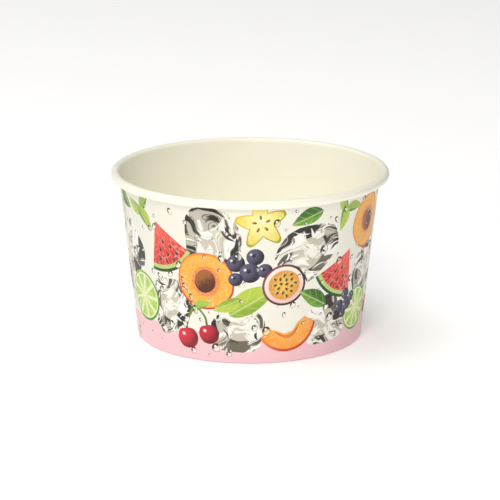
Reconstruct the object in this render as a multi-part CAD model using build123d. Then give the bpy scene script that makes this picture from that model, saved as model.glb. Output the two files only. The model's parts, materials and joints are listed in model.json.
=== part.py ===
from build123d import *
import math
import os

# driving dimensions, millimetres and degrees
rim_dia = 96.0          # over the outside of the rolled rim
height = 58.6           # ground to the top of the rolled rim
base_dia = 77.3         # outside of the wall where its line meets the ground
board = 0.4             # coated board of the side wall
floor_board = 0.36      # coated board of the floor disc
bead_dia = 3.1          # rolled rim, over the outside of its first half turn
roll_gap = 0.1          # air between two turns of the rolled rim
flat_turn = 30.0        # turn from one flat of the rolled board to the next
tuck_turn = 45.0        # the same where the board's edge is tucked inside the roll
fold_cut = 0.24         # size of the foot fold's corner on the wall side
floor_rise = 6.0        # ground to the underside of the floor disc
hem_rise = 5.2          # ground to the top edge of the folded hem
floor_cut = 0.5         # size of the corner between floor and skirt
skirt_lift = 0.25       # air between the skirt's edge and the foot fold
seam_angle = 193.0      # direction of the seam's outer cut edge, from +X round +Z
lap_width = 7.0         # overlap of the seam at half height
ease_width = 18.0       # length over which the outer ply comes down to the round
lap_press = 0.8         # share of the board that the outer ply stands proud

# the roll: its centre, and the radius of the board's centreline in it
bead_centre = Vector((rim_dia - bead_dia) / 2, height - bead_dia / 2)
roll_radius = (bead_dia - board) / 2


def roll_bend(turn):
    """Bend of the rolled board, at a turn counted from the wall side over the top."""
    tighten = (board + roll_gap) * max(0, turn - 180) / 180
    radius = roll_radius / math.cos(math.radians(flat_turn / 2)) - tighten
    angle = math.radians(turn)
    return bead_centre + Vector(-math.cos(angle), math.sin(angle)) * radius


# half a turn over the top and down the outside, then tighter, inside the first
roll = [roll_bend((k + 0.5) * flat_turn) for k in range(7)]
roll += [roll_bend(6.5 * flat_turn + k * tuck_turn) for k in (1, 2, 3)]

# the wall's line: its centre runs into the roll's first bend, its outside ends at the foot
wall_foot = Vector(base_dia / 2, 0)
span = roll[0] - wall_foot
lean = math.atan2(span.X, span.Y) + math.asin(board / 2 / span.length)
wall_up = Vector(math.sin(lean), math.cos(lean))
wall_out = Vector(math.cos(lean), -math.sin(lean))


def stack_point(depth, z):
    """Point at height z on the line that lies the given depth inside the wall's outer face."""
    start = wall_foot - wall_out * depth
    return start + wall_up * ((z - start.Y) / wall_up.Y)


# depths of the boards stacked in the foot, from the wall's outer face inwards
wall_mid = board / 2
skirt_mid = board + floor_board / 2
hem_mid = board + floor_board + board / 2

# the seam's angles, and the shifted axis that lifts the outer ply off the round
mid_radius = (base_dia + rim_dia) / 4
lap_turn = math.degrees(lap_width / mid_radius)
ease = ease_width / mid_radius
lift = lap_press * board
shift = lift * mid_radius / (mid_radius * (1 - math.cos(ease)) - lift * math.cos(ease))
ply_turn = math.atan2(rim_dia / 2 * math.sin(ease), rim_dia / 2 * math.cos(ease) + shift)

# centreline of the side wall's board: hem, foot fold and wall
plate = board / 2
hem_top = stack_point(hem_mid, hem_rise)
hem_corner = stack_point(hem_mid, plate)
plate_outer = stack_point(wall_mid, plate) - Vector(fold_cut, 0)
wall_low = stack_point(wall_mid, plate + fold_cut)


def sheet(points, thickness):
    """Section of a sheet that follows the points with half its thickness on each side."""
    return trace(Polyline(*points), thickness)


def lathe(section, start, turn, centre=0.0):
    """Section turned about the upright axis at (centre, 0), from an angle counted from the seam."""
    ring = revolve(Plane.XZ * section, Axis((centre, 0, 0), (0, 0, 1)), turn)
    return Rot(0, 0, seam_angle + start) * ring


# the board where it lies single, and its parts where the seam laps
hem_and_foot = [hem_top, hem_corner, plate_outer, wall_low]
single = sheet([*hem_and_foot, *roll], board)
hem_only = sheet(hem_and_foot, board)
inner_end = sheet([wall_low, roll[0]], board)
outer_end = sheet([hem_corner, plate_outer, wall_low, *roll], board)

# side wall: single board for most of the round, its two ends lapped at the seam
ease_turn = math.degrees(ease)
side_wall = lathe(single, 0, 360 - ease_turn)
side_wall += lathe(hem_only, -ease_turn, ease_turn)
side_wall += lathe(inner_end, -lap_turn, lap_turn)
side_wall += lathe(outer_end, -ease_turn, math.degrees(ply_turn), -shift)

# base disc: the floor and its skirt, which the wall and the hem hold between them
floor_mid = floor_rise + floor_board / 2
disc = [
    Vector(0, floor_mid),
    stack_point(skirt_mid, floor_mid) - Vector(floor_cut, 0),
    stack_point(skirt_mid, floor_mid - floor_cut),
    stack_point(skirt_mid, board + skirt_lift),
]
base_disc = lathe(sheet(disc, floor_board), 0, 360)

os.makedirs("parts", exist_ok=True)
export_step(side_wall, "parts/side_wall.step")
export_step(base_disc, "parts/base_disc.step")
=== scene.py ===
import bisect
import collections
import functools
import json
import math
import random
import bpy
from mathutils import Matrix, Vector
from mathutils.geometry import delaunay_2d_cdt

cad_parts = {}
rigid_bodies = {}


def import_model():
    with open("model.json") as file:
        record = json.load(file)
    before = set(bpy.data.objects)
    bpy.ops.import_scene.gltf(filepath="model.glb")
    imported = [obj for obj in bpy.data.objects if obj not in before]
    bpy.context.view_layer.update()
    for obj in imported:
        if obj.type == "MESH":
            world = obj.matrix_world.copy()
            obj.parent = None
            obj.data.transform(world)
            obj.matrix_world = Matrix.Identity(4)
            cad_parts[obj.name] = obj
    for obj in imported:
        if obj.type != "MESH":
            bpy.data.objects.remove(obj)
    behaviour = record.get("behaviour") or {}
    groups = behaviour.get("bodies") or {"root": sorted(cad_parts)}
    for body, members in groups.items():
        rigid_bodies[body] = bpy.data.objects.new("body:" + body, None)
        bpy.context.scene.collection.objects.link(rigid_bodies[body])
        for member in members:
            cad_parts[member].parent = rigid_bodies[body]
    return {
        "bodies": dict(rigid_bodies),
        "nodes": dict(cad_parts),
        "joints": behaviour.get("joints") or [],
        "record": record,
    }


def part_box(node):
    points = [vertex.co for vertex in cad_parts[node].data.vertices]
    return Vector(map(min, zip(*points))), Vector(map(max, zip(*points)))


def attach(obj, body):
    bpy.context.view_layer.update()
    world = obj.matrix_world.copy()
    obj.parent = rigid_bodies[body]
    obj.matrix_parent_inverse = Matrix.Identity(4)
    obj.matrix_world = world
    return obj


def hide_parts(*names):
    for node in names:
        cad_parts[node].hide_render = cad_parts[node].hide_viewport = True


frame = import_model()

mm = 0.001  # lengths below are in millimetres and turned to metres where a mesh is made
smoothAngle = math.radians(40)
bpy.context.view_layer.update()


def tint(code):
    # an sRGB hex colour as linear red, green, blue and alpha
    parts = [int(code[i:i + 2], 16) / 255 for i in (1, 3, 5)]
    linear = [c / 12.92 if c <= 0.04045 else ((c + 0.055) / 1.055) ** 2.4 for c in parts]
    return (*linear, 1.0)


def smooth(x):
    # 0 below 0, 1 above 1, an easy curve between
    x = min(max(x, 0.0), 1.0)
    return x * x * (3 - 2 * x)


def addPiece(name, points, edges, faces):
    # a new object with this mesh, the only one selected
    mesh = bpy.data.meshes.new(name)
    mesh.from_pydata(points, edges, faces)
    piece = bpy.data.objects.new(name, mesh)
    bpy.context.collection.objects.link(piece)
    bpy.ops.object.select_all(action="DESELECT")
    piece.select_set(True)
    bpy.context.view_layer.objects.active = piece
    return piece


# The side wall: one sheet of cup board, rolled to a cone, lapped at the seam,
# folded up inside the foot round the disc's skirt, and curled outwards into the rim.

cup = {
    "rimRadius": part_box("side_wall")[1][0] / mm,   # over the rolled rim
    "height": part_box("side_wall")[1][2] / mm,
    "baseRadius": 38.65,      # outside of the wall, carried down to the ground
    "board": 0.4,
    "discBoard": 0.36,        # board of the disc, whose skirt stands between wall and hem
    "beadSize": 3.1,          # rolled rim over its first turn
    "rollGap": 0.1,           # air between the turns of the roll
    "rollTuck": 40.0,         # degrees that the board's edge is tucked in
    "flareReach": 0.45,       # the wall leaves the cone by this much at the rim
    "flareBend": 115.0,       # radius of that bend
    "foldBend": 0.24,         # radius of the board's middle in the foot fold
    "hemRise": 5.2,           # ground to the top edge of the hem
    "footTones": (10, 14, 18),      # stations where pink starts, where painted shade darkens it in the fold, and where it ends
    "columns": 246,           # faces round, from the inner ply's end to the outer ply's cut edge
}

# how the two plies lie on each other at the seam
seam = {
    "angle": 193.0,           # outer cut edge, from +X round +Z; the outer ply comes from behind
    "lap": 7.0,               # overlap of the plies
    "ease": 15.0,             # length over which the outer ply comes down to the round
    "rollEase": 3.0,          # the same in the rolled rim, where the plies are pressed flush
    "easeRun": 3.0,           # run of board over which the first becomes the second
    "easeStart": 5,           # stations below the roll where that starts
    "proud": 1.03,            # height of the outer ply, in boards
    "footZone": 3.0,          # below this height, board that looks down lies flush on the ground
    "footSlope": (0.35, 0.5),       # sine of the angle below level where that starts, and its spread
    "footPress": 1.1,         # share of the height that it takes away
    "pressTurn": 2.6,         # degrees over which the inner ply's end is pressed thin
    "wallPress": 0.64,        # how thin, in half boards, in the wall
    "rollPress": 1.28,        # and in the roll
}

wallMid = cup["board"] / 2
skirtMid = cup["board"] + cup["discBoard"] / 2
hemMid = cup["board"] + cup["discBoard"] + cup["board"] / 2
roll = (cup["beadSize"] - cup["board"]) / 2
beadR = cup["rimRadius"] - cup["beadSize"] / 2
beadZ = cup["height"] - cup["beadSize"] / 2
reach = roll - cup["board"] / 2 + cup["flareReach"]
spanR = beadR - cup["baseRadius"]
lean = math.atan2(spanR, beadZ) - math.asin(reach / math.hypot(spanR, beadZ))
flareTurn = math.acos(1 - cup["flareReach"] / (cup["flareBend"] - roll))
midRadius = (cup["baseRadius"] + cup["rimRadius"]) / 2


def stackPoint(depth, z):
    # radius and height of a point so deep inside the wall's outer face, at that height
    return (cup["baseRadius"] - depth / math.cos(lean) + z * math.tan(lean), z)


def walk(x, z, heading, moves):
    # Follows the board's middle: each move is (bend radius or 0 for straight, length or degrees, steps).
    # Gives stations of radius, height, the print side's direction and the run so far.
    stations = [(x, z, math.cos(heading), -math.sin(heading), 0.0)]
    run = 0.0
    for radius, amount, steps in moves:
        for _ in range(steps):
            turn, step = 0.0, amount / steps
            if radius:
                turn = math.radians(amount / steps)
                step = 2 * radius * math.sin(abs(turn) / 2)
            heading += turn / 2
            x += step * math.sin(heading)
            z += step * math.cos(heading)
            heading += turn / 2
            run += step
            stations.append((x, z, math.cos(heading), -math.sin(heading), run))
    return stations


def wallStations():
    # the wall's board from its hem, under the foot, up the wall and round the roll
    bend, plate = cup["foldBend"], cup["board"] / 2
    leanDeg = math.degrees(lean)
    hemCut = bend * math.tan((math.pi / 2 + lean) / 2)
    wallCut = bend * math.tan((math.pi / 2 - lean) / 2)
    hemCorner = stackPoint(hemMid, plate)
    wallCorner = stackPoint(wallMid, plate)
    flareRun = (cup["flareBend"] - roll) * math.sin(flareTurn)
    alongWall = (beadR - cup["baseRadius"]) * math.sin(lean) + beadZ * math.cos(lean)
    straight = alongWall - flareRun - (plate / math.cos(lean) + wallMid * math.tan(lean)) - wallCut
    start = stackPoint(hemMid, cup["hemRise"])
    tight = (cup["board"] + cup["rollGap"]) / 2
    moves = [
        (0, (cup["hemRise"] - plate) / math.cos(lean) - hemCut, 5),       # down the hem
        (bend, -(90 + leanDeg), 7),
        (0, wallCorner[0] - hemCorner[0] - hemCut - wallCut, 1),          # out under the foot
        (bend, -(90 - leanDeg), 7),
        (0, straight, 14),                                                # up the wall
        (cup["flareBend"], math.degrees(flareTurn), 6),
        (roll, 180, 26),                                                  # over the top and down
        (roll - tight, 180, 22),
        (roll - 2 * tight, cup["rollTuck"], 5),
    ]
    return walk(*start, math.pi + lean, moves), moves


stations, wallMoves = wallStations()
foldEnd = sum(m[2] for m in wallMoves[:4])      # first station of the straight wall
rollStart = sum(m[2] for m in wallMoves[:6])    # last station of the flare
faceLow, faceHigh = stations[foldEnd][1], stations[rollStart][1]
lapTurn, easeTurn, rollEase = (math.degrees(seam[k] / midRadius) for k in ("lap", "ease", "rollEase"))
halfTurn = 180.0 - lapTurn / 2
firstTurn, lastTurn = -lapTurn, 360.0      # the inner ply's hidden end, the outer ply's cut edge
print("board section", len(stations), "stations, lean", round(math.degrees(lean), 2))


def stationAt(z):
    # the wall's station values at a height, read between the stations of wall and flare
    for a, b in zip(stations[foldEnd:rollStart], stations[foldEnd + 1:rollStart + 1]):
        if z <= b[1]:
            break
    t = (z - a[1]) / (b[1] - a[1])
    return tuple(p + (q - p) * t for p, q in zip(a, b))


def boardPoint(turn, station, side):
    # A point of the rolled-up sheet: side is 1 for the printed face and -1 for the food face.
    # The sheet's last end lies one board further out over the lap and eases down to the round.
    x, z, nx, nz, run = station
    rolled = smooth((run - stations[rollStart - seam["easeStart"]][4]) / seam["easeRun"])
    ease = easeTurn + (rollEase - easeTurn) * rolled
    proud = seam["proud"] * cup["board"] * smooth((turn - lastTurn + lapTurn) / ease + 1)
    slope, spread = seam["footSlope"]
    underFoot = smooth((-nz - slope) / spread) if z < seam["footZone"] else 0.0
    half = cup["board"] / 2
    if side < 0:
        # the inner ply's end is pressed thin on the food side, most of all in the rolled rim
        press = seam["rollPress" if run > stations[rollStart][4] else "wallPress"]
        half *= 1 - press * smooth((firstTurn - turn) / seam["pressTurn"] + 1)
    shift = side * half + proud * (1 - seam["footPress"] * underFoot)
    angle = math.radians(seam["angle"] + turn)
    r = x + nx * shift
    return (r * math.cos(angle) * mm, r * math.sin(angle) * mm, (z + nz * shift) * mm)


# The print: generic fruit, leaves, ice and drops, each made of outlines drawn one over the other
# in a square from -1 to 1. A part is its ink, outline, two colours and frame: centre, half size, turn.

inkPart = collections.namedtuple("inkPart", "ink outline first second frame")


def span(outline):
    # the box round an outline: left, right, low and high
    return [end for side in zip(*outline) for end in (min(side), max(side))]


def part(ink, outline, first, second, frame=None):
    # without a frame of its own, a part's colours run over the box round its outline
    left, right, low, high = span(outline)
    box = ((right + left) / 2, (high + low) / 2, (right - left) / 2, (high - low) / 2)
    return inkPart(ink, outline, first, second, frame or box)


def turned(points, degrees, cx=0.0, cy=0.0):
    # points turned round the middle and then shifted
    c, s = math.cos(math.radians(degrees)), math.sin(math.radians(degrees))
    return [(cx + x * c - y * s, cy + x * s + y * c) for x, y in points]


def fitted(points, sx, sy, cx=0.0, cy=0.0):
    # points drawn smaller or larger each way and then shifted
    return [(cx + sx * x, cy + sy * y) for x, y in points]


def between(p, q, t):
    return ((1 - t) * p[0] + t * q[0], (1 - t) * p[1] + t * q[1])


def pairs(outline):
    # each point of a closed outline with the next one
    return zip(outline, outline[1:] + outline[:1])


def onOval(angle, rx, ry):
    # the point at an angle on an oval round the middle
    return (rx * math.cos(angle), ry * math.sin(angle))


def arc(start, sweep, steps):
    # points on the unit circle, in degrees
    return [onOval(math.radians(start + sweep * i / steps), 1, 1) for i in range(steps + 1)]


def oval(cx, cy, rx, ry, turn=0.0, points=40):
    return turned([onOval(math.tau * i / points, rx, ry) for i in range(points)], turn, cx, cy)


def flowing(points, steps=6):
    # a closed soft outline through a few points
    def curve(a, b, c, d, t):
        return 0.5 * (2 * b + (c - a) * t + (2 * a - 5 * b + 4 * c - d) * t * t
                      + (3 * b - a - 3 * c + d) * t ** 3)

    n = len(points)
    out = []
    for i in range(n):
        near = [points[(i + k - 1) % n] for k in range(4)]
        out.extend(tuple(curve(*side, j / steps) for side in zip(*near)) for j in range(steps))
    return out


def soften(points, times=2):
    # cuts the corners of a closed outline
    for _ in range(times):
        points = [between(p, q, t) for p, q in pairs(points) for t in (0.22, 0.78)]
    return points


def stepped(outline, longest):
    # more points on long straight edges, so that they follow the round of the wall
    out = []
    for p, q in pairs(outline):
        count = max(1, math.ceil(math.dist(p, q) / longest))
        out.extend((p[0] + (q[0] - p[0]) * k / count, p[1] + (q[1] - p[1]) * k / count) for k in range(count))
    return out


def holds(outline, x, y):
    # whether a closed outline goes round a point
    crossings = 0
    for p, q in pairs(outline):
        if (p[1] > y) != (q[1] > y) and x < p[0] + (y - p[1]) * (q[0] - p[0]) / (q[1] - p[1]):
            crossings += 1
    return crossings % 2 == 1


def leafShape(length, width, bow=0.0, cx=0.0, cy=0.0, turn=0.0, points=14):
    # a pointed leaf along its own line, bowed to one side
    upper, lower = [], []
    for t in (i / points for i in range(points + 1)):
        w = width * math.sin(math.pi * t ** 0.85) ** 0.85 * (1 - 0.25 * t)
        x, y = (t - 0.5) * length, bow * math.sin(math.pi * t)
        upper.append((x, y + w / 2))
        lower.append((x, y - w / 2))
    return turned(upper + lower[-2:0:-1], turn, cx, cy)


def leaf(cx, cy, length, width, turn, first="#a4c845", second="#6b972a", bow=0.08):
    # the leaf's frame turns with it, so that its midrib and veins do too
    outline = leafShape(length, width, bow * length, cx, cy, turn)
    return [part("leaf", outline, first, second, (cx, cy, length / 2, width / 2, turn))]


def peachHalf():
    skin = flowing([(1, 0), (0.78, 0.66), (0.2, 0.98), (-0.42, 0.9), (-0.9, 0.5), (-1.0, -0.1),
                    (-0.75, -0.7), (-0.15, -1.0), (0.5, -0.86), (0.88, -0.46)])
    stone = [(0.36, 0), (0.2, 0.34), (-0.1, 0.4), (-0.34, 0.16), (-0.34, -0.2), (-0.06, -0.42), (0.24, -0.3)]
    return [
        part("peel", skin, "#f7872c", "#d9431d"),
        part("pulp", fitted(skin, 0.93, 0.93), "#f4a229", "#fbb52f", (0, 0, 0.95, 0.95)),
        part("pulp", oval(0.02, 0, 0.5, 0.53), "#c2331f", "#f08a2c", (0.02, 0, 0.5, 0.53)),
        part("stone", flowing(stone), "#a8632f", "#5a2a14"),
    ]


def peachWedge():
    # a cut wedge seen from its side: skin along the back, a red hollow where the stone sat
    back = arc(200, 140, 16)
    inner = [(0.62, 0.0), (0.34, -0.12), (0.12, -0.34), (-0.16, -0.36), (-0.42, -0.16), (-0.7, 0.0)]
    flesh = fitted(back, 0.93, 0.93, 0.0, 0.015) + inner
    hollow = [(0.4, -0.16), (0.14, -0.38), (-0.16, -0.42), (-0.46, -0.18), (-0.2, -0.5), (0.1, -0.52)]
    return [
        part("peel", back + inner, "#f2822b", "#cf3a1c"),
        part("pulp", flesh, "#fbb437", "#f79a24", (0, -0.1, 1.0, 1.0)),
        part("flat", flowing(hollow), "#c63a20", "#ee8a2e"),
    ]


def melonWedge():
    top = 0.62      # the wedge's point, with green, pale and red sectors hung from it

    def sector(radius):
        return [(0.0, top)] + fitted(arc(236, 68, 14), radius, radius, 0.0, top)

    seeds = ((0.0, -0.02, 90), (-0.22, -0.22, 65), (0.2, -0.24, 112), (0.0, -0.42, 90),
             (-0.36, -0.46, 62), (0.35, -0.48, 118), (-0.16, -0.6, 80), (0.16, -0.62, 100))
    return [
        part("peel", sector(1.55), "#3f7a2a", "#1f4d1b"),
        part("flat", sector(1.46), "#dfe8a0", "#bcd47c"),
        part("pulp", sector(1.34), "#ef4b3c", "#d92a2a", (0, top, 1.34, 1.34)),
        *(part("ball", oval(x, y, 0.065, 0.038, turn, 12), "#4a2418", "#1d0d08") for x, y, turn in seeds),
    ]


def citrusWheel():
    parts = [
        part("peel", oval(0, 0, 1, 0.97), "#8cc63a", "#4f8f1f"),
        part("flat", oval(0, 0, 0.91, 0.88), "#f4f7cf", "#e6efb4"),
    ]
    segments, inner, outer, half = 9, 0.1, 0.84, math.radians(16.5)
    for k in range(segments):
        mid = math.radians(40 * k + 8)
        wedge = [onOval(mid, inner, inner)]
        wedge += [onOval(mid + half * t, outer, 0.97 * outer)
                  for t in (-0.86, -0.96, -0.9, -0.5, 0.0, 0.5, 0.9, 0.96, 0.86)]
        # the outer corners are drawn in a little, as full segments round off
        wedge[2], wedge[-2] = (onOval(mid + side, 0.8, 0.776) for side in (-half, half))
        parts.append(part("pulp", wedge, "#d3e77a", "#9fcf3f", (0, 0, 0.86, 0.86)))
    return parts


def starSlice():
    rays = [72 * k + 90 for k in range(5)]
    tip = ((-27, 0.6), (-13, 0.82), (-5, 0.97), (5, 0.97), (13, 0.82), (27, 0.6), (36, 0.5))

    def star(scale):
        turns = [(math.radians(ray + spread), scale * radius) for ray in rays for spread, radius in tip]
        return flowing([onOval(a, r, r) for a, r in turns], 3)

    parts = [
        part("peel", star(1.0), "#e3c52c", "#a8a51f"),
        part("pulp", star(0.9), "#faf3a4", "#ecd94e", (0, 0, 0.95, 0.95)),
        part("flat", star(0.34), "#fdf9cf", "#f3e77e"),
    ]
    for ray in rays:
        x, y = onOval(math.radians(ray), 0.26, 0.26)
        parts.append(part("ball", oval(x, y, 0.09, 0.045, ray, 14), "#a0703a", "#4d2f18"))
    return parts


def cherries():
    stems = ([(-0.5, -0.08), (-0.34, 0.4), (0.12, 0.98), (0.2, 0.92), (-0.24, 0.36), (-0.42, -0.08)],
             [(0.52, 0.02), (0.5, 0.46), (0.16, 0.98), (0.12, 0.9), (0.42, 0.44), (0.44, 0.02)])
    plump = [(1, 0), (0.74, 0.7), (0.14, 0.9), (-0.14, 0.86), (-0.72, 0.7), (-1, 0),
             (-0.7, -0.74), (0, -1), (0.7, -0.74)]
    left, right = fitted(plump, 0.46, 0.45, -0.46, -0.42), fitted(plump, 0.42, 0.42, 0.5, -0.3)
    return [
        *(part("flat", flowing(stem), "#7d8f2c", "#4f5f1c") for stem in stems),
        *leaf(0.42, 0.86, 1.0, 0.4, 14),
        part("ball", flowing(left), "#d8243a", "#6d0a1c"),
        part("ball", flowing(right), "#c81d36", "#5c0818"),
    ]


def blueberries():
    # each berry with its five-pointed crown
    parts = []
    spots = ((-0.5, 0.28, 0.44), (0.46, 0.36, 0.42), (0.02, -0.34, 0.5), (-0.72, -0.48, 0.34),
             (0.72, -0.42, 0.36))
    star = [onOval(math.tau * k / 10, *((0.34, 0.3) if k % 2 else (0.19, 0.17))) for k in range(10)]
    for x, y, r in spots:
        crown = [(x + (a - 0.1) * r, y + (b + 0.22) * r) for a, b in star]
        parts.append(part("ball", oval(x, y, r, r * 0.96, 0, 30), "#5a5674", "#17151d"))
        parts.append(part("flat", crown, "#35323f", "#0d0c11"))
    return parts


def coconutPiece():
    # a broken piece: brown shell along the back, thick white flesh with a shaded hollow
    back = arc(194, 152, 12)
    shell, flesh = fitted(back, 1.0, 0.96, 0.0, 0.4), fitted(back, 0.93, 0.86, 0.0, 0.41)
    inner = [(0.78, 0.36), (0.44, 0.06), (0.0, -0.05), (-0.44, 0.06), (-0.78, 0.36)]
    hollow = [(0.74, 0.34), (0.42, 0.07), (0.0, -0.04), (-0.42, 0.07), (-0.74, 0.34),
              (-0.44, -0.04), (0.0, -0.17), (0.44, -0.04)]
    return [
        part("stone", flowing(shell + inner), "#8a5a34", "#3a2012"),
        part("flat", flowing(flesh + inner), "#fffdf4", "#e0dac8"),
        part("flat", flowing(hollow), "#d8d1bd", "#efe9d8"),
    ]


def passionHalf():
    # dark rind, pale pith, and seeds in yellow pulp
    parts = [
        part("peel", oval(0, 0, 1, 0.96, 0, 44), "#8a3a4a", "#3c1222"),
        part("flat", oval(0, 0, 0.9, 0.86), "#fbeee2", "#f0c9c0"),
        part("pulp", oval(0, 0, 0.72, 0.68), "#f7c53a", "#e2921c", (0, 0, 0.72, 0.68)),
    ]
    dice = random.Random(5)
    seeds = 17
    for k in range(seeds):
        a = 2.4 * k
        r = 0.58 * math.sqrt((k + 0.6) / seeds)
        x, y = onOval(a, r, 0.94 * r)
        turn = math.degrees(a) + dice.uniform(-30, 30)
        parts.append(part("ball", oval(x, y, 0.12, 0.1, turn, 14), "#f4d368", "#c98a1c"))
        parts.append(part("ball", oval(x, y, 0.078, 0.052, turn, 12), "#4a3a30", "#15100c"))
    return parts


ice = {
    "body": ("#f4f1e6", "#4c4638"),
    "facets": (("#fbf9f0", "#2b261c"), ("#fffef8", "#6d6656"),
               ("#c4bfb0", "#201b13"), ("#f6f3e8", "#3b3529")),
    "middle": ("#f8f6ec", "#cbc5b4"),
    "strokes": (("#ffffff", "#f1eee2"), ("#4a4336", "#231e15")),
    "strokeCount": 7,
    "facetShare": 0.95,       # facets are drawn this much smaller, so the body shows between them
}


def iceBlock(seed):
    # a clear block of ice: a ring of glassy facets, grey, black and white, round a clear middle
    dice = random.Random(seed)
    corners = dice.choice((5, 5, 6))
    ring, inner = [], []
    middle = (dice.uniform(-0.16, 0.16), dice.uniform(-0.02, 0.22))
    for k in range(corners):
        a = math.tau * (k + dice.uniform(-0.24, 0.24)) / corners
        far, near = dice.uniform(0.9, 1.12), dice.uniform(0.46, 0.66)
        ring.append(onOval(a, far, 0.92 * far))
        x, y = onOval(a + 0.15, near, near)
        inner.append((middle[0] + x, middle[1] + y))
    # all its parts share one frame, so the folds in the ice run on from facet to facet
    place = (dice.uniform(-4, 4), dice.uniform(-4, 4), 1, 1, dice.uniform(0, 360))
    parts = [part("ice", soften(ring), *ice["body"], place)]
    tones = list(ice["facets"])
    dice.shuffle(tones)
    for k in range(corners):
        n = (k + 1) % corners
        facet = [ring[k], ring[n], inner[n], inner[k]]
        cx, cy = sum(p[0] for p in facet) / 4, sum(p[1] for p in facet) / 4
        facet = [(cx + ice["facetShare"] * (x - cx), cy + ice["facetShare"] * (y - cy)) for x, y in facet]
        parts.append(part("ice", soften(facet), *tones[k % 4], place))
    parts.append(part("ice", soften(inner, 3), *ice["middle"], place))
    for _ in range(ice["strokeCount"]):
        k = dice.randrange(corners)
        n = (k + 1) % corners
        t, u = dice.uniform(0.1, 0.9), dice.uniform(0.35, 0.9)
        x, y = between(between(ring[k], ring[n], t), between(inner[k], inner[n], t), u)
        turn = math.degrees(math.atan2(ring[n][1] - ring[k][1], ring[n][0] - ring[k][0]))
        turn += dice.uniform(-25, 25)
        shade = dice.choice(ice["strokes"])
        stroke = leafShape(dice.uniform(0.2, 0.5), dice.uniform(0.04, 0.09), 0.05, x, y, turn, 6)
        parts.append(part("flat", stroke, *shade))
    return parts


motifs = {
    "peachHalf": peachHalf(), "peachWedge": peachWedge(), "melon": melonWedge(), "citrus": citrusWheel(),
    "star": starSlice(), "cherries": cherries(), "blueberries": blueberries(), "passion": passionHalf(),
    "coconut": coconutPiece(), "leaf": leaf(0, 0, 2.1, 0.98, 0, "#bcd04a", "#8bb032", 0.05),
    "darkLeaf": leaf(0, 0, 2.0, 1.05, 0, "#6fa63a", "#3a6f22", -0.04),
    "sprig": [*leaf(-0.3, 0.3, 1.25, 0.56, 128, "#b8cf54", "#86aa36"),
              *leaf(0.52, 0.18, 1.2, 0.54, 24, "#a3c048", "#67902c"),
              *leaf(0.02, -0.42, 1.3, 0.62, -76, "#b4cd4c", "#789e30")],
    "iceA": iceBlock(4), "iceB": iceBlock(9), "iceC": iceBlock(15), "iceD": iceBlock(23),
}

# where the print lies, in millimetres up the wall and degrees round from the seam
label = {
    "bandTop": 10.6,          # plain pink band at the foot
    "low": 0.9,
    "high": 56.6,             # the artwork runs up under the roll and is cut off straight
    "edgeMargin": 0.25,       # bare board beside the seam's cut edge
    "edgeStep": 1.6,          # longest straight edge of an outline
    "repeat": 180.0,          # the layout is printed twice round
    "reach": 30.0,            # degrees from its middle that no motif goes past
    "drops": 290,
    "fineShare": 0.66,        # this share of them is fine
    "fineDrop": (0.4, 0.85),  # half the length of a drop
    "fullDrop": (1.0, 1.7),
    "dropSlim": (0.6, 0.95),  # width to length
    "splashes": 7,            # thrown strings of drops
    "splashDrops": 6,
    "splashDrop": (0.8, 1.7),
    "splashSlim": (0.36, 0.7),
    "splashStep": (2.6, 2.3),       # from drop to drop, degrees round and millimetres up
    "dropLine": "#26211a",
    "underDrops": {"ice": "#e4e1d6", "band": "#f9c9cf", "board": "#f6f2e6"},
}

# one repeat of the layout, undermost first: name, degrees from the seam, millimetres up, half size, turn
layout = [
    ("darkLeaf", 3, 52, 6.5, -30), ("iceA", 6, 34, 12.5, 10), ("iceB", 36, 19, 11.5, 60),
    ("iceC", 59, 44, 13, 140), ("iceD", 71, 12, 11, 20), ("iceB", 104, 39, 13, 200),
    ("iceA", 117, 13, 11.5, 100), ("iceC", 147, 27, 11.5, 250), ("iceD", 169, 45, 10.5, 330),
    ("sprig", 20, 50, 8.2, 30), ("citrus", 15, 18.5, 9.2, 12), ("coconut", 178, 51, 6.4, 150),
    ("melon", 34, 41, 11.5, 24), ("peachHalf", 56, 29, 10.2, -15), ("cherries", 50, 12, 8.6, 8),
    ("blueberries", 76, 35, 7.2, 15), ("leaf", 79, 22.5, 9.6, 32), ("star", 82, 50, 9.2, 8),
    ("passion", 93, 28, 7.6, 20), ("peachWedge", 95, 14.5, 10.6, 14), ("sprig", 124, 52, 7.6, -25),
    ("melon", 125, 31, 11.0, -30), ("darkLeaf", 108, 22, 6.4, 150), ("peachHalf", 143, 45, 9.6, 40),
    ("citrus", 140, 14, 8.0, 30), ("star", 166, 30, 7.8, 30), ("cherries", 163, 15, 7.8, -12),
    ("leaf", 158, 55, 8.0, 160), ("blueberries", 176, 24, 5.4, -40), ("darkLeaf", 103, 51, 6.2, 200),
    ("blueberries", 129, 18, 4.8, 50), ("leaf", 66, 21, 5.2, 205),
]


def onWall(turn, height, x, y):
    # millimetres beside and above a place on the wall, as degrees from the seam and height
    z = min(max(height + y, label["low"]), label["high"])
    radius = stackPoint(0, z)[0]
    edge = math.degrees(label["edgeMargin"] / radius)
    return (min(max(turn + math.degrees(x / radius), 0.0), lastTurn - edge), z)


def localPlace(turn, height, where):
    # the same the other way: a place on the wall in a part's own frame, from -1 to 1 each way
    homeTurn, homeHeight, size, spin, box = where
    radius = stackPoint(0, height)[0]
    x, y = math.radians(turn - homeTurn) * radius / size, (height - homeHeight) / size
    (x, y), = turned([(x, y)], -spin)
    x, y = x - box[0], y - box[1]
    if len(box) > 4:
        (x, y), = turned([(x, y)], -box[4])
    return (x / box[2], y / box[3])


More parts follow.
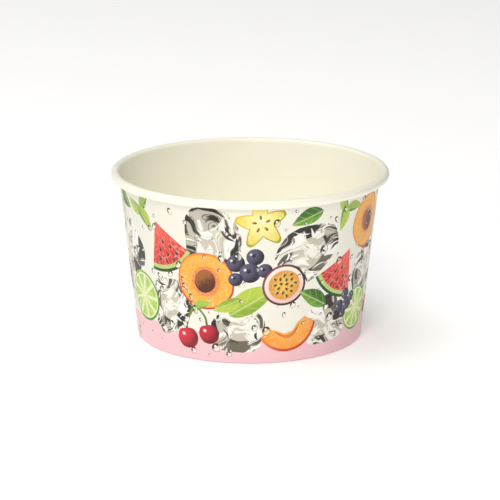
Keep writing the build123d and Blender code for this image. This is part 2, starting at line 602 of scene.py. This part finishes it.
def dropSpots():
    # loose drops all round, then splashes: turn, height, half length, spin and slimness of each
    dice = random.Random(21)
    spots = []
    for _ in range(label["drops"]):
        size = dice.uniform(*label["fineDrop" if dice.random() < label["fineShare"] else "fullDrop"])
        spots.append((dice.uniform(1, 359), dice.uniform(2.0, 54.5), size, dice.uniform(-50, 50),
                      dice.uniform(*label["dropSlim"])))
    for _ in range(label["splashes"]):
        turn, height, way = dice.uniform(4, 350), dice.uniform(12, 50), dice.uniform(50, 130)
        for _ in range(label["splashDrops"]):
            way += dice.uniform(-28, 28)
            aside, up = onOval(math.radians(way), *label["splashStep"])
            turn, height = turn + aside, height + up
            size, slim = dice.uniform(*label["splashDrop"]), dice.uniform(*label["splashSlim"])
            spots.append((turn, height, size, way - 90, slim))
    return spots


def bodyUnder(turn, height, parts):
    # the colour that shows through a drop
    under = label["underDrops"]
    for item in reversed(parts):
        near = abs(turn - item.frame[0]) < label["reach"] and item.ink != "drop"
        if near and holds(item.outline, turn, height):
            return under["ice"] if item.ink == "ice" else item.first
    return under["band" if height < label["bandTop"] else "board"]


def placedParts():
    # every printed part, its outline now in degrees and height, its frame with its place on the wall
    parts = []
    for lap in range(2):
        for name, turn, height, size, spin in layout:
            turn += lap * label["repeat"]
            for item in motifs[name]:
                outline = turned(stepped(item.outline, label["edgeStep"] / size), spin)
                outline = [onWall(turn, height, x * size, y * size) for x, y in outline]
                parts.append(item._replace(outline=outline, frame=(turn, height, size, spin, item.frame)))
    for turn, height, size, spin, slim in dropSpots():
        outline = [onWall(turn, height, x * size, y * size) for x, y in oval(0, 0, slim, 1, spin, 14)]
        under, place = bodyUnder(turn, height, parts), (turn, height, size, spin, (0, 0, slim, 1))
        parts.append(inkPart("drop", outline, under, label["dropLine"], place))
    return parts


# Boards and inks

soft = {"interpolation_type": "SMOOTHSTEP"}     # a Map Range from 0 to 1 with a soft start and end
rgba = {"data_type": "RGBA"}
glint = tint("#fffef8")

# the board's own pattern, in millimetres; its fibres are far finer, and drawn coarse enough to show
fibre = {
    "clump": 1.1,
    "relief": 0.04,
    "reliefShare": 0.12,
    "mottle": 16.5,           # patches where the coat is a little thicker
    "mottleRange": (0.985, 1.015),
}


def addNode(tree, kind, *feeds, out=None, **values):
    # One node: small-letter values are its own settings, capital ones its sockets by name,
    # and feeds go in order to the sockets that those settings leave in use.
    made = tree.nodes.new("ShaderNode" + kind)
    for key in values:
        if key.islower():
            setattr(made, key, values[key])
    sockets = list(zip((socket for socket in made.inputs if socket.enabled), feeds))
    sockets += [(made.inputs[key.replace("_", " ")], values[key]) for key in values if not key.islower()]
    for socket, value in sockets:
        if isinstance(value, bpy.types.NodeSocket):
            tree.links.new(value, socket)
        else:
            socket.default_value = value
    return made.outputs[out] if out else next(socket for socket in made.outputs if socket.enabled)


def newMaterial(name, roughness, colour, specular):
    # the shader, with numbers and plain colours on its own sockets, and a helper that adds nodes beside it
    made = bpy.data.materials.new(name)
    made.use_nodes = True
    shader = made.node_tree.nodes["Principled BSDF"]
    settings = {"Base Color": tint(colour), "Roughness": roughness, "Specular IOR Level": specular}
    for socket, value in {**settings, "IOR": 1.5}.items():
        shader.inputs[socket].default_value = value
    return made, shader, functools.partial(addNode, made.node_tree)


def boardMaterial(name, colour, roughness):
    # coated board: a soft even tone, a shade deeper here and there, with the faintest fibre under the coat
    made, shader, add = newMaterial(name, roughness, colour, 0.42)
    place = add("TexCoord", out="Object")
    grain = add("TexNoise", place, Scale=1 / (fibre["clump"] * mm), Detail=3.0)
    bump = add("Bump", Height=grain, Strength=fibre["reliefShare"], Distance=fibre["relief"] * mm)
    mottle = add("TexNoise", place, Scale=1 / (fibre["mottle"] * mm), Detail=2.0)
    value = add("MapRange", mottle, 0.0, 1.0, *fibre["mottleRange"])
    tone = add("HueSaturation", Color=tint(colour), Value=value)
    made.node_tree.links.new(bump, shader.inputs["Normal"])
    made.node_tree.links.new(tone, shader.inputs["Base Color"])
    return made


def inkMaterial(name, roughness, paint):
    # offset ink on coated board: thin and smooth, about as matt as the board; paint gives its colour
    made, shader, add = newMaterial(name, roughness, "#ffffff", 0.45)
    local = add("UVMap", uv_map="inkPlace")
    first, second = (add("Attribute", attribute_name=key) for key in ("inkFirst", "inkSecond"))
    made.node_tree.links.new(paint(add, local, first, second), shader.inputs["Base Color"])
    return made


def grainInk(light, share, low, high, **grain):
    # brighter towards the light, broken up by a share of grain: the second colour at low, the first at high
    def paint(add, local, first, second):
        lit = add("VectorMath", local, light, operation="DOT_PRODUCT")
        shade = add("Math", add("TexNoise", local, **grain), share, lit, operation="MULTIPLY_ADD")
        return add("Mix", add("MapRange", shade, low, high, **soft), second, first, **rgba)

    return paint


def ballInk(add, local, first, second):
    # berries, cherries, seeds: round and firm, lit from the upper left, dark at the rim, one soft highlight
    x, y, _ = add("SeparateXYZ", local).node.outputs
    square = add("VectorMath", local, local, operation="DOT_PRODUCT")
    depth = add("Math", add("Math", 1.0, square, operation="SUBTRACT", use_clamp=True), operation="SQRT")
    facing = add("CombineXYZ", x, y, depth)
    grain = add("TexNoise", local, Scale=5.0, Detail=3.0)
    light = add("VectorMath", facing, (-0.5, 0.58, 0.64), operation="DOT_PRODUCT")
    shade = add("Math", grain, 0.35, light, operation="MULTIPLY_ADD")
    body = add("Mix", add("MapRange", shade, -0.075, 1.125, **soft), second, first, **rgba)
    edge = add("VectorMath", local, (-0.36, 0.42, 0.0), operation="DISTANCE")
    edge = add("Math", grain, 0.12, edge, operation="MULTIPLY_ADD")
    lit = add("Mix", add("MapRange", edge, 0.3, 0.12, 0.0, 0.85, **soft), body, tint("#fff8f0"), **rgba)
    low = add("VectorMath", facing, (0.62, -0.66, 0.3), operation="DOT_PRODUCT")
    return add("Mix", add("MapRange", low, 0.72, 0.98, 0.0, 0.28, **soft), lit, first, **rgba)


def pulpInk(add, local, first, second):
    # cut fruit: wet sacs run out from the middle, with pale skins between them and darker juice in places
    x, y, _ = add("SeparateXYZ", local).node.outputs
    radius = add("VectorMath", local, operation="LENGTH")
    spread = add("CombineXYZ", add("Math", y, x, operation="ARCTAN2"), radius)
    spread = add("VectorMath", spread, (5.0, 2.2, 0.0), operation="MULTIPLY")
    streaks = add("TexNoise", spread, Scale=2.6, Detail=4.0)
    ripe = add("Math", streaks, 0.5, radius, operation="MULTIPLY_ADD")
    body = add("Mix", add("MapRange", ripe, 0.35, 1.25, **soft), first, second, **rgba)
    skins = add("TexVoronoi", spread, Scale=2.2, feature="DISTANCE_TO_EDGE")
    body = add("Mix", add("MapRange", skins, 0.09, 0.0, 0.0, 0.3, **soft), body, tint("#fff6dc"), **rgba)
    dark = add("MapRange", streaks, 0.56, 0.75, 0.0, 0.45, **soft)
    return add("Mix", dark, body, second, blend_type="MULTIPLY", **rgba)


def leafInk(add, local, first, second):
    # a leaf along X: pale midrib, side veins that run forward, one half in shade
    x, y, _ = add("SeparateXYZ", local).node.outputs
    lift = add("Math", x, 0.35, y, operation="MULTIPLY_ADD")
    body = add("Mix", add("MapRange", lift, -0.5, 0.5, **soft), second, first, **rgba)
    across = add("Math", y, operation="ABSOLUTE")
    run = add("Math", across, -7.0, add("Math", x, 13.0, operation="MULTIPLY"), operation="MULTIPLY_ADD")
    veins = add("MapRange", add("Math", run, operation="SINE"), 0.86, 1.0, 0.0, 0.27, **soft)
    midrib = add("MapRange", across, 0.09, 0.03, 0.0, 0.6, **soft)
    return add("Mix", add("Math", veins, midrib, operation="MAXIMUM"), body, tint("#dcec9a"), **rgba)


def iceInk(add, local, first, second):
    # clear ice: broad folds of dark and white, bent as glass bends what is behind it, with fine dark lines
    warp = add("TexNoise", local, Scale=1.0, Detail=1.0, out="Color")
    bent = add("VectorMath", warp, (1.9, 1.9, 0.0), local, operation="MULTIPLY_ADD")
    bent = add("VectorMath", bent, (0.8, 1.8, 1.0), operation="MULTIPLY")
    folds = add("TexNoise", bent, Scale=1.5, Detail=2.0, Roughness=0.45)
    body = add("Mix", add("MapRange", folds, 0.44, 0.485, **soft), second, first, **rgba)
    middle = add("Mix", 0.5, first, second, **rgba)
    body = add("Mix", add("MapRange", folds, 0.58, 0.72, 0.0, 0.35, **soft), body, middle, **rgba)
    fine = add("TexNoise", bent, Scale=2.6, Detail=0.8)
    away = add("Math", add("Math", fine, 0.47, operation="SUBTRACT"), operation="ABSOLUTE")
    lines = add("MapRange", away, 0.026, 0.006, 0.0, 0.75, **soft)
    deep = add("MapRange", fine, 0.41, 0.385, 0.0, 0.92, **soft)
    body = add("Mix", add("Math", lines, deep, operation="MAXIMUM"), body, second, **rgba)
    return add("Mix", add("MapRange", fine, 0.6, 0.65, 0.0, 0.95, **soft), body, glint, **rgba)


def dropInk(add, local, first, second):
    # a water drop: what lies under it, a dark crescent to the upper left, light gathered to the lower right
    x, y, _ = add("SeparateXYZ", local).node.outputs
    radius = add("VectorMath", local, operation="LENGTH")
    side = add("Math", y, 0.6, add("Math", x, -0.55, operation="MULTIPLY"), operation="MULTIPLY_ADD")
    clear = add("Mix", add("MapRange", side, 0.1, -0.45, 0.0, 0.65, **soft), first, glint, **rgba)
    outward, upper = add("MapRange", radius, 0.26, 0.6, **soft), add("MapRange", side, -0.12, 0.26, **soft)
    dark = add("Math", outward, upper, operation="MULTIPLY")
    ring = add("MapRange", radius, 0.74, 0.9, 0.0, 0.7, **soft)
    body = add("Mix", add("Math", dark, ring, operation="MAXIMUM"), clear, second, **rgba)
    spot = add("VectorMath", local, (-0.26, 0.3, 0.0), operation="DISTANCE")
    return add("Mix", add("MapRange", spot, 0.32, 0.18, **soft), body, glint, **rgba)


# clay coat: an even warm white, half matt
printBoard = boardMaterial("coated_cup_board_white_printed_side", "#f4f2e6", 0.46)
# thin film over the board: creamier, with a faint satin light
foodBoard = boardMaterial("film_coated_cup_board_cream_food_side", "#fffdee", 0.36)
# cut edge: dull and a shade darker, so that the seam shows as a line
edgeBoard = boardMaterial("cut_board_edge_raw_fibre", "#ddd7c7", 0.85)
# solid pink: flat and as matt as the board
pinkInk = boardMaterial("offset_ink_pink_flat_on_board", "#f6cad1", 0.44)
# the same ink with shade painted into the foot fold: a thin darker line along the foot, standing in for the
# fold's shadow
foldShadeInk = boardMaterial("offset_ink_pink_painted_shade_in_the_fold", "#ad8a92", 0.5)
# pith, stems and shell flesh: one tint runs softly into the other downwards, a little uneven
flatInk = grainInk((0.0, 0.5, 0.0), -1.0, -1.0, -0.1, Scale=4.0, Detail=4.0)
# skin and rind: pores, and darker towards the lower right
peelInk = grainInk((-0.5, 0.6, 0.0), 0.9, 0.0, 1.1, Scale=11.0, Detail=3.0)
# fruit stone and coconut shell: rough ridges
stoneInk = grainInk((-0.35, 0.45, 0.0), 1.0, 0.25, 0.85, Scale=5.5, Detail=5.0, Distortion=1.2)
inks = {name: inkMaterial("offset_ink_" + look, roughness, paint) for name, look, roughness, paint in (
    ("flat", "soft_blend", 0.42, flatInk), ("ball", "round_fruit", 0.4, ballInk),
    ("pulp", "fruit_pulp", 0.42, pulpInk), ("peel", "fruit_peel", 0.42, peelInk),
    ("stone", "stone_and_shell", 0.44, stoneInk), ("leaf", "leaf_green", 0.42, leafInk),
    ("ice", "clear_ice", 0.4, iceInk), ("drop", "water_drops", 0.4, dropInk))}
wallMaterials = [printBoard, foodBoard, edgeBoard, pinkInk, *inks.values(), foldShadeInk]
slotOf = {made.name: k for k, made in enumerate(wallMaterials)}
print("materials ready")


# The side wall's mesh: two faces of a closed sheet. The printed face of the wall is cut
# along every printed outline, so that each ink has its own faces and sharp edges.

cutting = {
    "rows": 20,               # rows of points up the printed face
    "shortest": 0.004,        # a shorter edge of an outline is left out
    "join": 0.006,            # points nearer than this become one
    "sliver": 0.003,          # a triangle lower than this has its long edge turned
    "rounds": 12,
    "epsilon": 1e-5,
    "touch": (1e-3, 1e-4),    # degrees and millimetres within which a point lies on a column or row
    "beside": (0.3, 0.2),     # how far off the surface's direction is read, in the same
}

# where the flattened board lies in the bake: bottom and height of each strip, in shares of the picture
strips = {
    "margin": 0.005, "print": 0.41, "printStep": 0.418,
    "food": (0.84, 0.075), "hem": (0.93, 0.05), "rim": (0.925, 0.05),
    "hemEdge": 0.984, "rimEdge": 0.989, "innerEnd": 0.993, "outerEnd": 0.997, "thin": 0.003, "endStep": 0.004,
}

boardFace = collections.namedtuple("boardFace", "corners spots slot mark printed")


def cleanTriangles(flat, tris):
    # joins points that nearly touch, then turns the long edge of each triangle that is nearly flat
    first = list(range(len(flat)))

    def root(k):
        while first[k] != k:
            k = first[k]
        return k

    for tri in tris:
        for p, q in pairs(tuple(tri)):
            p, q = sorted((root(p), root(q)))
            if p != q and (flat[p] - flat[q]).length < cutting["join"]:
                first[q] = p
    tris = [tuple(root(k) for k in tri) for tri in tris]
    seen = collections.Counter(frozenset(tri) for tri in tris)
    tris = [tri for tri in tris if len(set(tri)) == 3 and seen[frozenset(tri)] == 1]
    for _ in range(cutting["rounds"]):
        beside = {edge: f for f, tri in enumerate(tris) for edge in pairs(tri)}
        used = set()
        for f, tri in enumerate(tris):
            a, b, c = max(((tri[k], tri[k - 2], tri[k - 1]) for k in range(3)),
                          key=lambda t: (flat[t[0]] - flat[t[1]]).length)
            along = flat[b] - flat[a]
            high = (along.x * (flat[c] - flat[a]).y - along.y * (flat[c] - flat[a]).x) / along.length
            g = beside.get((b, a))
            if high > cutting["sliver"] or g is None or f in used or g in used:
                continue
            d = next(k for k in tris[g] if k not in (a, b))
            if (c, d) in beside or (d, c) in beside:
                continue
            tris[f], tris[g] = (a, d, c), (d, b, c)
            beside[c, d] = beside[d, c] = f
            used |= {f, g}
        if not used:
            break
    return tris


def topParts(places, tris, parts):
    # for each triangle the part printed last over its middle, or None
    middles = sorted((sum(places[k][0] for k in tri) / 3, sum(places[k][1] for k in tri) / 3, f)
                     for f, tri in enumerate(tris))
    turns = [m[0] for m in middles]
    owners = [None] * len(tris)
    for item in parts:
        left, right, low, high = span(item.outline)
        for x, y, f in middles[bisect.bisect_left(turns, left):bisect.bisect_right(turns, right)]:
            if low < y < high and holds(item.outline, x, y):
                owners[f] = item
    return owners


def printedFace(turns):
    # the printed face laid flat and cut into triangles: their corners' places, and the part on each
    scale = math.radians(1) * midRadius
    points, edges = [], []

    def chain(places, closed=False):
        start, count = len(points), len(places)
        points.extend(Vector((t * scale, z)) for t, z in places)
        edges.extend((start + i, start + (i + 1) % count) for i in range(count if closed else count - 1))

    rows = [faceLow + (faceHigh - faceLow) * i / cutting["rows"] for i in range(cutting["rows"] + 1)]
    for z in (faceLow, faceHigh):
        chain([(t, z) for t in turns])
    for t in (firstTurn, lastTurn):
        chain([(t, z) for z in rows])
    # the outer ply's cut edge lies over the first of these, and the bake is parted at the second
    for t in (0.0, halfTurn):
        chain([(t, faceLow), (t, faceHigh)])
    chain([(t, label["bandTop"]) for t in turns])
    for t in turns[2:-2:2]:
        points.extend(Vector((t * scale, z)) for z in rows[1:-1])
    parts = placedParts()
    for item in parts:
        chain([p for p, q in pairs(item.outline) if math.dist(p, q) > cutting["shortest"]], True)
    flat, _, tris, *_ = delaunay_2d_cdt(points, edges, [], 0, cutting["epsilon"], False)
    tris = cleanTriangles(flat, tris)
    places = [(p.x / scale, p.y) for p in flat]
    print("printed face", len(tris), "triangles,", len(parts), "printed parts")
    return places, tris, topParts(places, tris, parts)


def seamEnd(outer, inner, vertices, across):
    # closes the sheet's cut end: triangles between its printed and its food side, always the shorter way
    def gap(p, q):
        return (Vector(vertices[p]) - Vector(vertices[q])).length

    a = b = 0
    while a < len(outer) - 1 or b < len(inner) - 1:
        lead = b == len(inner) - 1 or (
            a < len(outer) - 1 and gap(outer[a + 1], inner[b]) <= gap(inner[b + 1], outer[a]))
        tri = [outer[a], outer[a + 1], inner[b]] if lead else [outer[a], inner[b + 1], inner[b]]
        along = (a + b) / (len(outer) + len(inner))
        yield tri, [(along, across), (along + strips["endStep"], across), (along, across + strips["thin"])]
        a, b = (a + 1, b) if lead else (a, b + 1)


def wallSheet():
    # every vertex and face of the side wall's board
    columns, count = cup["columns"], len(stations)
    step = (lastTurn - firstTurn) / columns
    turns = [firstTurn + step * i for i in range(columns + 1)]
    for turn in (0.0, halfTurn):
        turns[round((turn - firstTurn) / step)] = turn
    places, tris, owners = printedFace(turns)
    vertices, faces = [], []

    def grid(side, rows):
        index = {}
        for j in rows:
            for i, turn in enumerate(turns):
                index[i, j] = len(vertices)
                vertices.append(boardPoint(turn, stations[j], side))
        return index

    food = grid(-1, range(count))
    hem = grid(1, range(0, foldEnd + 1))
    rim = grid(1, range(rollStart, count))

    def addFace(corners, spots, made, flip=False, mark=None, printed=False):
        way = -1 if flip else 1
        faces.append(boardFace(corners[::way], spots[::way], slotOf[made.name], mark, printed))

    def quads(index, rows, made, strip, flip=False):
        base, size = strips[strip]
        for j in rows:
            low, high = (base + size * stations[k][4] / stations[-1][4] for k in (j, j + 1))
            for i in range(columns):
                a, b = i / columns, (i + 1) / columns
                addFace([index[i, j], index[i + 1, j], index[i + 1, j + 1], index[i, j + 1]],
                        [(a, low), (b, low), (b, high), (a, high)], made, flip)

    # the pink runs on under the foot, as a print that bleeds past the fold does
    quads(food, range(count - 1), foodBoard, "food", True)
    # the fold's lower bend takes the pink with painted shade, a dark line in place of the fold's shadow
    for start, end, made in zip((0, *cup["footTones"]), (*cup["footTones"], foldEnd),
                                (printBoard, pinkInk, foldShadeInk, pinkInk)):
        quads(hem, range(start, end), made, "hem")
    quads(rim, range(rollStart, count - 1), printBoard, "rim")

    # the printed face's own vertices, its lower and upper rows shared with the grids
    number, ends = {}, {firstTurn: [], lastTurn: []}
    nearColumn, nearRow = cutting["touch"]
    for k in sorted({k for tri in tris for k in tri}):
        turn, z = places[k]
        i = round((turn - firstTurn) / step)
        onColumn = abs(turn - turns[i]) < nearColumn
        if onColumn and abs(z - faceLow) < nearRow:
            number[k] = hem[i, foldEnd]
        elif onColumn and abs(z - faceHigh) < nearRow:
            number[k] = rim[i, rollStart]
        else:
            number[k] = len(vertices)
            vertices.append(boardPoint(turn, stationAt(z), 1))
        for end in ends:
            if abs(turn - end) < nearRow:
                ends[end].append((z, number[k]))
    for tri, mark in zip(tris, owners):
        spots = [places[k] for k in tri]
        turn, z = (sum(side) / 3 for side in zip(*spots))
        if turn <= 0.0:
            mark = None     # nothing is printed on the lap
        made = inks[mark.ink] if mark else pinkInk if z < label["bandTop"] else printBoard
        addFace([number[k] for k in tri], spots, made, False, mark, True)

    # the board's cut edges: hem and roll ends, then the two ends at the seam
    for j, index, v in ((0, hem, strips["hemEdge"]), (count - 1, rim, strips["rimEdge"])):
        for i in range(columns):
            a, b, top = i / columns, (i + 1) / columns, v + strips["thin"]
            addFace([index[i, j], index[i + 1, j], food[i + 1, j], food[i, j]],
                    [(a, v), (b, v), (b, top), (a, top)], edgeBoard, not j)
    for i, end, v in ((0, firstTurn, strips["innerEnd"]), (columns, lastTurn, strips["outerEnd"])):
        outer = [hem[i, j] for j in range(foldEnd)] + [n for _, n in sorted(ends[end])]
        outer += [rim[i, j] for j in range(rollStart + 1, count)]
        inner = [food[i, j] for j in range(count)]
        for tri, spots in seamEnd(outer, inner, vertices, v):
            addFace(tri, spots, edgeBoard, i > 0)
    return vertices, faces


def bakePlaces(face):
    # the board laid flat for baking: the printed face in two rows, the rest in thin strips above
    margin = strips["margin"]
    if not face.printed:
        return [(margin + (1 - 2 * margin) * a, b) for a, b in face.spots]
    row = int(sum(turn for turn, _ in face.spots) / 3 > halfTurn)
    start, end = (halfTurn, lastTurn) if row else (firstTurn, halfTurn)
    return [(margin + (1 - 2 * margin) * (turn - start) / (end - start),
             margin + strips["printStep"] * row + strips["print"] * (z - faceLow) / (faceHigh - faceLow))
            for turn, z in face.spots]


@functools.cache
def roundNormal(turn, z):
    # the printed face's direction at a place, from points a little beside and above it
    aside, above = cutting["beside"]
    heights = (max(z - above, faceLow), min(z + above, faceHigh))
    a, b = (Vector(boardPoint(turn, stationAt(h), 1)) for h in heights)
    sides = (max(turn - aside, firstTurn), min(turn + aside, lastTurn))
    c, d = (Vector(boardPoint(t, stationAt(z), 1)) for t in sides)
    return (d - c).cross(b - a).normalized()


def inkLayers(mesh, faces):
    # each printed part's own frame and two colours, which its ink reads, and the places for baking
    maps, colours = {"inkPlace": [], "OFBake": []}, {"inkFirst": [], "inkSecond": []}
    for face in faces:
        mark = face.mark
        for turn, z in face.spots:
            maps["inkPlace"].extend(localPlace(turn, z, mark.frame) if mark else (0.0, 0.0))
            colours["inkFirst"].extend(tint(mark.first if mark else "#ffffff"))
            colours["inkSecond"].extend(tint(mark.second if mark else "#ffffff"))
        maps["OFBake"].extend(value for spot in bakePlaces(face) for value in spot)
    for name, values in maps.items():
        mesh.uv_layers.new(name=name)
        mesh.uv_layers[name].data.foreach_set("uv", values)
    for name, values in colours.items():
        mesh.color_attributes.new(name, "FLOAT_COLOR", "CORNER")
        mesh.color_attributes[name].data.foreach_set("color", values)


def sideWall():
    vertices, faces = wallSheet()
    piece = addPiece("side_wall_board", vertices, [], [face.corners for face in faces])
    mesh = piece.data
    for made in wallMaterials:
        mesh.materials.append(made)
    mesh.polygons.foreach_set("material_index", [face.slot for face in faces])
    inkLayers(mesh, faces)
    bpy.ops.object.shade_smooth_by_angle(angle=smoothAngle)
    # the cut-up printed face is shaded as the smooth round it lies on
    mesh.normals_split_custom_set([roundNormal(*spot) if face.printed else (0.0, 0.0, 0.0)
                                   for face in faces for spot in face.spots])
    return piece


# the floor and its skirt, which hangs down between wall and hem
discSizes = {
    "rise": 6.0,              # ground to the floor's underside
    "bend": 0.75,             # radius of the board's middle where floor turns to skirt
    "skirtLift": 0.65,        # ground to the skirt's edge
    "steps": 180,             # faces round
}


def baseDisc():
    # the board's middle line spun round, then given its thickness
    floorMid = discSizes["rise"] + cup["discBoard"] / 2
    cut = discSizes["bend"] * math.tan((math.pi / 2 + lean) / 2)
    down = (floorMid - discSizes["skirtLift"]) / math.cos(lean) - cut
    outline = walk(0.0, floorMid, math.pi / 2, [
        (0, stackPoint(skirtMid, floorMid)[0] - cut, 12),
        (discSizes["bend"], 90 + math.degrees(lean), 8),
        (0, down, 4),
    ])
    piece = addPiece("base_disc_board", [(x * mm, 0, z * mm) for x, z, *_ in outline],
                     [(i, i + 1) for i in range(len(outline) - 1)], [])
    spin = piece.modifiers.new("spin", "SCREW")
    spin.steps = spin.render_steps = discSizes["steps"]
    spin.use_merge_vertices = True
    spin.merge_threshold = 1e-6
    bpy.ops.object.modifier_apply(modifier="spin")
    bpy.ops.object.mode_set(mode="EDIT")
    bpy.ops.mesh.select_all(action="SELECT")
    bpy.ops.mesh.remove_doubles(threshold=1e-6)
    bpy.ops.mesh.normals_make_consistent(inside=False)
    bpy.ops.object.mode_set(mode="OBJECT")
    thick = piece.modifiers.new("board", "SOLIDIFY")
    thick.thickness = cup["discBoard"] * mm
    thick.offset = 0.0
    thick.use_even_offset = True
    bpy.ops.object.modifier_apply(modifier="board")
    bpy.ops.object.shade_smooth_by_angle(angle=smoothAngle)
    piece.data.materials.append(foodBoard)
    return piece


wall = sideWall()
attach(wall, "root")
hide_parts("side_wall")
disc = baseDisc()
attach(disc, "root")
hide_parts("base_disc")
print("cup built")


# Studio: a pale table lit a little from below, two soft lights, the photo's camera; metres from here on

studio = {
    "floor": "#fafafa",
    "floorSize": 6.0,
    "floorDrop": 0.0002,      # under the foot, so that the two don't share a plane
    "tableGlow": 0.29,        # keeps shadows faint
    "lamps": {
        "key_softbox": {"place": (-0.18, -1.23, 0.94), "size": 0.7, "power": 11.0, "colour": "#fffaf2"},
        "top_softbox": {"place": (-0.45, 0.03, 1.38), "size": 1.3, "power": 10.8, "colour": "#ffffff"},
    },
    "lampAim": (0, 0, 0.03),
    "roomLight": 0.2,
    "aim": 0.02913,           # height that the camera looks at
    "distance": 1.0005,
    "elevation": 15.31,
    "focal": 2880.1,          # in pixels of a 500 pixel frame
    "frame": 500,
    "sensor": 36.0,
}


def aimAt(thing, place, target):
    thing.rotation_euler = (Vector(target) - Vector(place)).to_track_quat("-Z", "Y").to_euler()


def addFloor():
    bpy.ops.object.select_all(action="DESELECT")
    bpy.ops.mesh.primitive_plane_add(size=studio["floorSize"], location=(0, 0, -studio["floorDrop"]))
    floor = bpy.context.object
    floor.name = "floor"
    # frosted acrylic over lamps: matt, without a reflection of the cup, and bright even in its shadow
    made, shader, _ = newMaterial("frosted_acrylic_light_table", 0.9, studio["floor"], 0.1)
    shader.inputs["Emission Color"].default_value = tint("#ffffff")
    shader.inputs["Emission Strength"].default_value = studio["tableGlow"]
    floor.data.materials.append(made)


def addLamp(name, lampValues):
    bpy.ops.object.light_add(type="AREA", location=lampValues["place"])
    lamp = bpy.context.object
    lamp.name = name
    lamp.data.shape = "DISK"
    lamp.data.size = lampValues["size"]
    lamp.data.energy = lampValues["power"]
    lamp.data.color = tint(lampValues["colour"])[:3]
    aimAt(lamp, lampValues["place"], studio["lampAim"])


def addCamera():
    up = math.radians(studio["elevation"])
    aim = Vector((0.0, 0.0, studio["aim"]))
    place = aim + Vector((0.0, -math.cos(up), math.sin(up))) * studio["distance"]
    bpy.ops.object.camera_add(location=place)
    camera = bpy.context.object
    aimAt(camera, place, aim)
    camera.data.sensor_width = studio["sensor"]
    camera.data.lens = studio["focal"] * studio["sensor"] / studio["frame"]
    camera.data.clip_start = 0.01
    bpy.context.scene.camera = camera


def lightRoom():
    scene = bpy.context.scene
    scene.world = scene.world or bpy.data.worlds.new("World")
    scene.world.use_nodes = True
    background = scene.world.node_tree.nodes["Background"]
    background.inputs["Color"].default_value = tint("#ffffff")
    background.inputs["Strength"].default_value = studio["roomLight"]
    scene.view_settings.view_transform = "Standard"


addFloor()
for name, lampValues in studio["lamps"].items():
    addLamp(name, lampValues)
addCamera()
lightRoom()
print("studio ready")
